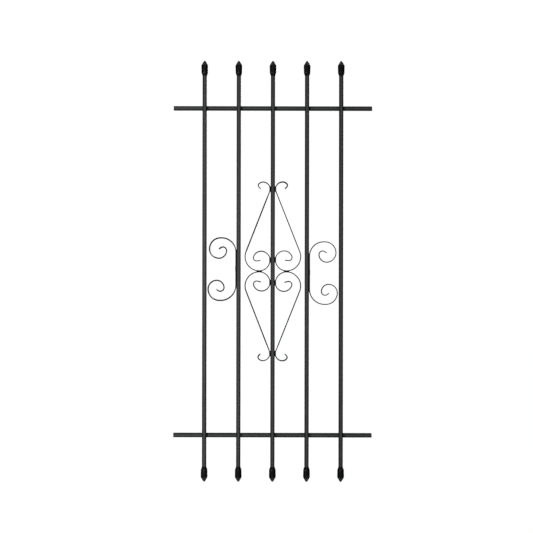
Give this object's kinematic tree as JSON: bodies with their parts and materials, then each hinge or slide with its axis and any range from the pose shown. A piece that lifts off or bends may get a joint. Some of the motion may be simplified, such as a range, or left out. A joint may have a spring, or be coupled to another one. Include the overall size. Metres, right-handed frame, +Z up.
{
  "type": "window security bar",
  "caption": "Fixed welded window guard: square-tube pickets on two rails, spear finials and bent strip scrolls.",
  "frame": {"origin": "middle of the upper rail's wall face, where the guard bears on the wall", "axes": "+Z up along the pickets; +Y out of the rails' back into the wall, so the street is at -Y; +X to the right seen from the street"},
  "size_m": [0.6478, 0.0321, 1.3716],
  "materials": {
    "bar_coat": "satin black powder coat on welded square steel tube, a faint orange-peel texture",
    "scroll_coat": "satin black powder coat on bent flat steel strip",
    "weld_coat": "satin black powder coat over rippled weld beads",
    "finial_plastic": "deep black moulded plastic with a fine grain and a soft sheen",
    "plug_plastic": "black moulded plastic, fine grain"
  },
  "bodies": {
    "root": {"picket_1": "bar_coat", "picket_2": "bar_coat", "picket_3": "bar_coat", "picket_4": "bar_coat", "picket_5": "bar_coat", "rail_upper": "bar_coat", "rail_lower": "bar_coat", "finial_top_1": "finial_plastic", "finial_bottom_1": "finial_plastic", "finial_top_2": "finial_plastic", "finial_bottom_2": "finial_plastic", "finial_top_3": "finial_plastic", "finial_bottom_3": "finial_plastic", "finial_top_4": "finial_plastic", "finial_bottom_4": "finial_plastic", "finial_top_5": "finial_plastic", "finial_bottom_5": "finial_plastic", "rail_plug_upper_left": "plug_plastic", "rail_plug_upper_right": "plug_plastic", "rail_plug_lower_left": "plug_plastic", "rail_plug_lower_right": "plug_plastic", "centre_scroll_upper_left": "scroll_coat", "centre_scroll_upper_right": "scroll_coat", "centre_scroll_lower_left": "scroll_coat", "centre_scroll_lower_right": "scroll_coat", "c_scroll_left": "scroll_coat", "c_scroll_right": "scroll_coat", "weld_upper_1_above": "weld_coat", "weld_upper_1_below": "weld_coat", "weld_upper_2_above": "weld_coat", "weld_upper_2_below": "weld_coat", "weld_upper_3_above": "weld_coat", "weld_upper_3_below": "weld_coat", "weld_upper_4_above": "weld_coat", "weld_upper_4_below": "weld_coat", "weld_upper_5_above": "weld_coat", "weld_upper_5_below": "weld_coat", "weld_lower_1_above": "weld_coat", "weld_lower_1_below": "weld_coat", "weld_lower_2_above": "weld_coat", "weld_lower_2_below": "weld_coat", "weld_lower_3_above": "weld_coat", "weld_lower_3_below": "weld_coat", "weld_lower_4_above": "weld_coat", "weld_lower_4_below": "weld_coat", "weld_lower_5_above": "weld_coat", "weld_lower_5_below": "weld_coat", "weld_hook_upper_left": "weld_coat", "weld_loop_upper_left": "weld_coat", "weld_hook_upper_right": "weld_coat", "weld_loop_upper_right": "weld_coat", "weld_hook_lower_left": "weld_coat", "weld_loop_lower_left": "weld_coat", "weld_hook_lower_right": "weld_coat", "weld_loop_lower_right": "weld_coat", "weld_loops_left": "weld_coat", "weld_c_scroll_left": "weld_coat", "weld_loops_right": "weld_coat", "weld_c_scroll_right": "weld_coat"}
  },
  "joints": []
}
